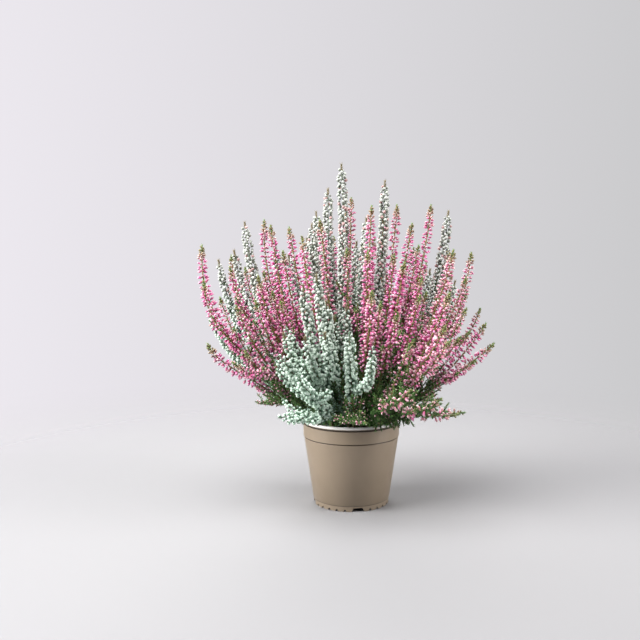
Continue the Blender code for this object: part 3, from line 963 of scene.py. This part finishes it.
def cover_with_beads(spray, draw, spine, point):
    """Beads in one spiral that covers the spike from its start to the foot of its point."""

    def per_length(run):
        return 2 * math.pi * np.maximum(spine.half_width(run) - BEAD_LENGTH * 0.4, 0.8 * MM) / BEAD_CELL

    runs = spine.spread(per_length, spine.bare, spine.length - point)
    count = len(runs)
    turns = np.arange(count) * math.radians(137.5) + draw.normal(0, 0.3, count)
    width = spine.half_width(runs) * draw.uniform(0.88, 1.06, count)
    full = np.clip(width / SILVER_SIDE[0], 0, 1)
    lifts = draw.normal(0.5, 0.2, count) + 0.7 * (1 - full)
    scale = (0.45 + 0.55 * full) * draw.uniform(0.75, 1.18, count)
    start = np.maximum(0, width - BEAD_LENGTH * scale * np.cos(lifts))
    spins = draw.uniform(0, 2 * math.pi, count)
    frames = frames_round(
        spine, runs, turns, lifts, start, BEAD_WIDTH * scale, BEAD_LENGTH * scale, spins
    )
    high = np.clip((spine.at(runs)[:, 2] - 220 * MM) / (80 * MM), 0, 1)
    flecks = (draw.random(count) < 0.1 * high) * 0.7
    spray.scatter(bead, frames, draw.random(count), flecks)


def pointed_tip(spray, draw, spine, leaf, reach, count, size, tones, olive=0):
    """The growing point: small leaves that close over the end of the spike."""
    runs = spine.length - reach * np.linspace(1, 0.15, count)
    turns = np.arange(count) * math.radians(137.5)
    lifts = draw.uniform(0.9, 1.3, count)
    frames = frames_round(spine, runs, turns, lifts, 0, 0.6 * MM, size)
    spray.scatter(leaf, frames, draw.uniform(*tones, count), olive)


def grow_silver(shoot, draw):
    spray = Spray()
    line = shoot.place(np.linspace(0, shoot.share, 46))
    front = line[-1][1] < -92 * MM
    lying = line[-1][2] < LYING_TIPS
    tall = line[-1][2] > TALL_TIPS
    stem_line = [shoot.root(STEM_FOOT), shoot.root(STEM_COLLAR), *line]
    stem = Spine(stem_line, *(SILVER_SIDE if lying else SILVER_MAIN))
    stem.bare = (0.13 if front else 0.22) / shoot.share * stem.length
    spikes = []
    for spike in shoot.spikes:
        points = shoot.place(np.linspace(spike[2], spike[3], 30), spike)
        spikes.append(Spine(points, *SILVER_SIDE))
        spikes[-1].bare = (0.1 if front else 0.3) * spikes[-1].length
    short = []
    for spine in [] if front else [stem] + spikes:
        short += laterals(draw, spine, 0.38, 0.62, 26 * MM, SILVER_SHORT, 0.25)
    leafy = laterals(draw, stem, 0.12, 0.4, 4.5 * MM, SILVER_TWIG, 0.2)
    if lying:
        short += laterals(draw, stem, 0.45, 0.9, 14 * MM, SILVER_LOW, 0.1, (25, 50), 0.6)
        leafy += laterals(draw, stem, 0.28, 0.6, 3 * MM, SPILL_TWIG, 0.2, (50, 90), -0.3)
    twigs = short + leafy
    spray.stems([stem] + spikes, [(1.5 * MM, 0.5 * MM)] + [(0.9 * MM, 0.4 * MM)] * len(spikes), 0, 6)
    spray.stems(twigs, [(0.5 * MM, 0.3 * MM)] * len(twigs), 0, 4)
    for spine in [stem] + spikes:
        cover_with_beads(spray, draw, spine, 7 * MM if tall else 2.5 * MM)
        if tall:
            pointed_tip(spray, draw, spine, green_leaf, 9 * MM, 26, 4.4 * MM, (0, 1), 1)
        else:
            pointed_tip(spray, draw, spine, silver_leaf, 5.5 * MM, 12, 3 * MM, (0.2, 1))
    for spine in short:
        cover_with_beads(spray, draw, spine, 2.5 * MM)
        pointed_tip(spray, draw, spine, silver_leaf, 5.5 * MM, 12, 3 * MM, (0.2, 1))
    for spine in [stem] + spikes:
        cover_with_leaves(spray, draw, spine, green_leaf, 0.02, 0.4, 1.2, (0, 0.6))
        cover_with_leaves(spray, draw, spine, silver_leaf, 0.4, 0.97, 0.5, (0, 0.3))
    for number, spine in enumerate(leafy):
        leaf = silver_leaf if number % 4 == 0 else green_leaf
        cover_with_leaves(spray, draw, spine, leaf, 0.1, 1, 1.2, (0, 0.7))
    cover_with_leaves(spray, draw, stem, green_leaf, 0.06, 0.3, 2, (0, 0.5))
    return spray, [woolly_wood, silver_buds, green_leaves, silver_leaves]


# Pink shoots
# Bud-flowering heather. Drop-shaped flower buds stand out from an olive stem on all sides, large
# and nodding low on the spike and small at its green tip, with small leaves between them.

BUD_LENGTH = 7.0 * MM
BUD_WIDTH = 1.5 * MM
BUDS_PER_WHORL = 5
WHORL_SPACING = 5.0 * MM
PINK_MAIN = (9.0 * MM, 30 * MM)
PINK_SIDE = (7.6 * MM, 26 * MM)
PINK_SHORT = (36 * MM, 6.4 * MM, 12 * MM)
PINK_TWIG = (44 * MM, 5 * MM, 10 * MM)
LOW_TWIG = (32 * MM, 5 * MM, 10 * MM)


def cover_with_buds(spray, draw, spine, ripe, per_whorl=BUDS_PER_WHORL):
    """Whorls of buds, which draw together and shrink to unopened ones at the growing tip."""

    def per_length(run):
        young = np.clip((run - spine.length + spine.blunt) / spine.blunt, 0, 1)
        return (1 + 1.4 * young) / WHORL_SPACING

    whorls = spine.spread(per_length, spine.bare, spine.length - 3 * MM)
    runs = np.repeat(whorls, per_whorl)
    count = len(runs)
    runs = runs + draw.normal(0, 0.9 * MM, count)
    turns = np.arange(count) * 2 * math.pi / per_whorl + np.repeat(np.arange(len(whorls)), per_whorl) * 2.2
    turns += draw.normal(0, 0.25, count)
    share = runs / spine.length
    young = np.clip((runs - spine.length + spine.blunt) / spine.blunt, 0, 1)
    lifts = -0.25 + 0.45 * share + 0.8 * young**2 + draw.normal(0, 0.25, count)
    reach = spine.half_width(runs) * draw.uniform(0.85, 1.12, count)
    lengths = np.clip(reach * 0.85, 2.0 * MM, BUD_LENGTH) * draw.uniform(0.85, 1.1, count)
    widths = BUD_WIDTH * np.clip(lengths / BUD_LENGTH, 0.4, 1) ** 0.7
    start = np.maximum(0.3 * MM, reach - lengths)
    frames = frames_round(spine, runs, turns, lifts, start, widths, lengths)
    colour = np.clip(ripe + draw.normal(0, 0.3, count), 0, 1)
    spray.scatter(bud, frames, draw.random(count), np.where(young > 0.45, -young, colour))


def grow_pink(shoot, draw):
    spray = Spray()
    line = shoot.place(np.linspace(0, shoot.share, 46))
    low = line[-1][2] < LOW_TIPS
    stem_line = [shoot.root(STEM_FOOT), shoot.root(STEM_COLLAR), *line]
    stem = Spine(stem_line, *PINK_MAIN)
    stem.bare = (0.5 if low else min(0.5, 0.34 / shoot.share)) * stem.length
    ripe = draw.uniform(0.0, 0.25) if low else draw.uniform(0.25, 0.95)
    per_whorl = 2 if low else BUDS_PER_WHORL
    spikes = []
    for spike in shoot.spikes:
        points = shoot.place(np.linspace(spike[2], spike[3], 30), spike)
        spikes.append(Spine(points, *PINK_SIDE, 20 * MM))
    short = []
    for spine in [stem] + spikes:
        short += laterals(draw, spine, 0.36, 0.6, 24 * MM, PINK_SHORT, 0.4)
    leafy = laterals(draw, stem, 0.12, 0.5, 3.8 * MM, PINK_TWIG, 0.7)
    if low:
        leafy += laterals(draw, stem, 0.12, 0.9, 3 * MM, LOW_TWIG, 0.6, (40, 80))
        leafy += laterals(draw, stem, 0.24, 0.5, 1.2 * MM, SPILL_TWIG, 0.8, (45, 95), -0.6)
    twigs = short + leafy
    spray.stems([stem] + spikes, [(1.4 * MM, 0.55 * MM)] + [(0.9 * MM, 0.45 * MM)] * len(spikes), 0, 6)
    spray.stems(twigs, [(0.5 * MM, 0.3 * MM)] * len(twigs), 0, 4)
    for spine in [stem] + spikes + short:
        cover_with_buds(spray, draw, spine, ripe, per_whorl)
        cover_with_leaves(spray, draw, spine, green_leaf, 0.1, 0.98, 0.9, (0, 1), 5 * MM)
        pointed_tip(spray, draw, spine, green_leaf, 9 * MM, 22, 3.2 * MM, (0.4, 1))
    for number, spine in enumerate(leafy):
        cover_with_leaves(spray, draw, spine, green_leaf, 0.1, 1, 1.6 if low else 1.2, (0, 0.8))
        if number % 3 == 0:
            cover_with_buds(spray, draw, spine, 0.1, 2)
    cover_with_leaves(spray, draw, stem, green_leaf, 0.05, 0.5, 2, (0, 0.5))
    return spray, [wood, pink_buds, green_leaves]


# Green sprigs
# Young leafy shoots that spread low over the rim, with a few cream buds just opening at their ends.

GREEN_TWIG = (28 * MM, 4 * MM, 8 * MM)


def grow_green(shoot, draw):
    spray = Spray()
    line = shoot.place(np.linspace(0, shoot.share, 24))
    stem_line = [shoot.root(STEM_FOOT), shoot.root(STEM_COLLAR), *line]
    stem = Spine(stem_line, 5 * MM, 8 * MM)
    spikes = []
    for spike in shoot.spikes:
        points = shoot.place(np.linspace(spike[2], spike[3], 12), spike)
        spikes.append(Spine(points, 4.2 * MM, 8 * MM))
    leafy = []
    for spine in [stem] + spikes:
        spine.bare = 0.6 * spine.length
        leafy += laterals(draw, spine, 0.2, 0.95, 2.8 * MM, GREEN_TWIG, 0.7, (35, 75))
    spray.stems([stem] + spikes, [(1.5 * MM, 0.5 * MM)] + [(0.8 * MM, 0.4 * MM)] * len(spikes), 0, 6)
    spray.stems(leafy, [(0.45 * MM, 0.3 * MM)] * len(leafy), 0, 4)
    for spine in [stem] + spikes + leafy:
        cover_with_leaves(spray, draw, spine, green_leaf, 0.1, 1, 1.2, (0, 0.9))
        cover_with_buds(spray, draw, spine, 0, 2)
    return spray, [wood, pink_buds, green_leaves]


bead = bead_template()
bud = teardrop(5, [(0.45, 1), (0.8, 0.85)], 1)
green_leaf = needle(2)
silver_leaf = needle(3)
growers = {"silver": grow_silver, "pink": grow_pink, "green": grow_green}
labels = {"silver": "silver_branch", "pink": "pink_branch", "green": "green_sprig"}
counts = dict.fromkeys(labels, 0)
for number, shoot in enumerate(plan_shoots()):
    counts[shoot.kind] += 1
    node = f"{labels[shoot.kind]}_{counts[shoot.kind]:02d}"
    spray, materials = growers[shoot.kind](shoot, np.random.default_rng(100 + number))
    piece = spray.finish(node + "_spray", materials)
    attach(piece, "root")
    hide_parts(node)

# Studio
# A pale floor that fades into the backdrop, tall soft lights at the sides, one from above and a
# weaker one behind.


def studio_world():
    world = bpy.data.worlds.new("studio")
    bpy.context.scene.world = world
    world.use_nodes = True
    nodes = world.node_tree.nodes
    link = world.node_tree.links.new
    coords = nodes.new("ShaderNodeTexCoord")
    split = nodes.new("ShaderNodeSeparateXYZ")
    sweep = nodes.new("ShaderNodeMapRange")
    sweep.inputs["From Min"].default_value = -0.4
    sweep.inputs["From Max"].default_value = 0.4
    tint = nodes.new("ShaderNodeMix")
    tint.data_type = "RGBA"
    tint.inputs["A"].default_value = (0.84, 0.81, 0.86, 1)
    tint.inputs["B"].default_value = (0.58, 0.58, 0.59, 1)
    seen = nodes["Background"]
    fill = nodes.new("ShaderNodeBackground")
    fill.inputs["Color"].default_value = (0.9, 0.92, 1, 1)
    fill.inputs["Strength"].default_value = 0.13
    path = nodes.new("ShaderNodeLightPath")
    choose = nodes.new("ShaderNodeMixShader")
    link(coords.outputs["Generated"], split.inputs["Vector"])
    link(split.outputs["X"], sweep.inputs["Value"])
    link(sweep.outputs["Result"], tint.inputs["Factor"])
    link(tint.outputs["Result"], seen.inputs["Color"])
    link(path.outputs["Is Camera Ray"], choose.inputs["Fac"])
    link(fill.outputs["Background"], choose.inputs[1])
    link(seen.outputs["Background"], choose.inputs[2])
    link(choose.outputs["Shader"], nodes["World Output"].inputs["Surface"])


def studio_floor():
    bm = bmesh.new()
    bmesh.ops.create_circle(bm, cap_ends=True, segments=96, radius=6)
    floor = mesh_object("floor", finished_mesh("floor", bm))
    finish = Finish("studio floor", 0.8)
    finish.shader.inputs["Base Color"].default_value = (0.262, 0.259, 0.267, 1)
    coords = finish.nodes.new("ShaderNodeTexCoord")
    away = finish.nodes.new("ShaderNodeVectorMath")
    away.operation = "LENGTH"
    clear = finish.nodes.new("ShaderNodeBsdfTransparent")
    fade = finish.nodes.new("ShaderNodeMixShader")
    finish.link(coords.outputs["Object"], away.inputs[0])
    fading = finish.remap(away.outputs["Value"], 0.2, 0.95)
    fading.node.interpolation_type = "SMOOTHSTEP"
    finish.link(fading, fade.inputs["Fac"])
    finish.link(finish.shader.outputs["BSDF"], fade.inputs[1])
    finish.link(clear.outputs["BSDF"], fade.inputs[2])
    finish.link(fade.outputs["Shader"], finish.nodes["Material Output"].inputs["Surface"])
    floor.data.materials.append(finish.material)


def soft_light(name, place, target, width, height, power, color):
    light = bpy.data.objects.new(name, bpy.data.lights.new(name, "AREA"))
    light.data.shape = "RECTANGLE"
    light.data.size = width
    light.data.size_y = height
    light.data.energy = power
    light.data.color = color
    light.location = place
    light.rotation_euler = (Vector(target) - Vector(place)).to_track_quat("-Z", "Y").to_euler()
    bpy.context.scene.collection.objects.link(light)


studio_world()
studio_floor()
soft_light("left", (-1.9, -0.6, 1.0), (0, 0, 0.15), 1.2, 1.6, 102, (1, 0.99, 0.97))
soft_light("right", (1.8, -0.4, 0.8), (0, 0, 0.15), 0.6, 1.4, 42, (1, 0.98, 0.96))
soft_light("top", (-0.35, -0.45, 1.8), (0, 0, 0.2), 1.4, 1.2, 50, (1, 1, 1))
soft_light("back", (-0.3, 1.8, 1.3), (0, 0, 0.2), 1.6, 1.2, 32, (1, 0.99, 0.98))

# Camera
# It looks along +Y and 5 degrees down, level with the crown. The shift puts the pot where the
# photograph has it, right of the picture's middle.

PHOTO_WIDTH = 640
FOCAL_PIXELS = 808
POT_CENTRE_PIXEL = 351.3
SENSOR = 36

camera = bpy.data.objects.new("camera", bpy.data.cameras.new("camera"))
camera.data.sensor_width = SENSOR
camera.data.lens = FOCAL_PIXELS * SENSOR / PHOTO_WIDTH
camera.data.shift_x = -(POT_CENTRE_PIXEL - PHOTO_WIDTH / 2) / PHOTO_WIDTH
camera.location = (0, -0.9, 0.285)
camera.rotation_euler = (math.radians(85), 0, 0)
bpy.context.scene.collection.objects.link(camera)
bpy.context.scene.camera = camera
bpy.context.scene.view_settings.view_transform = "Standard"
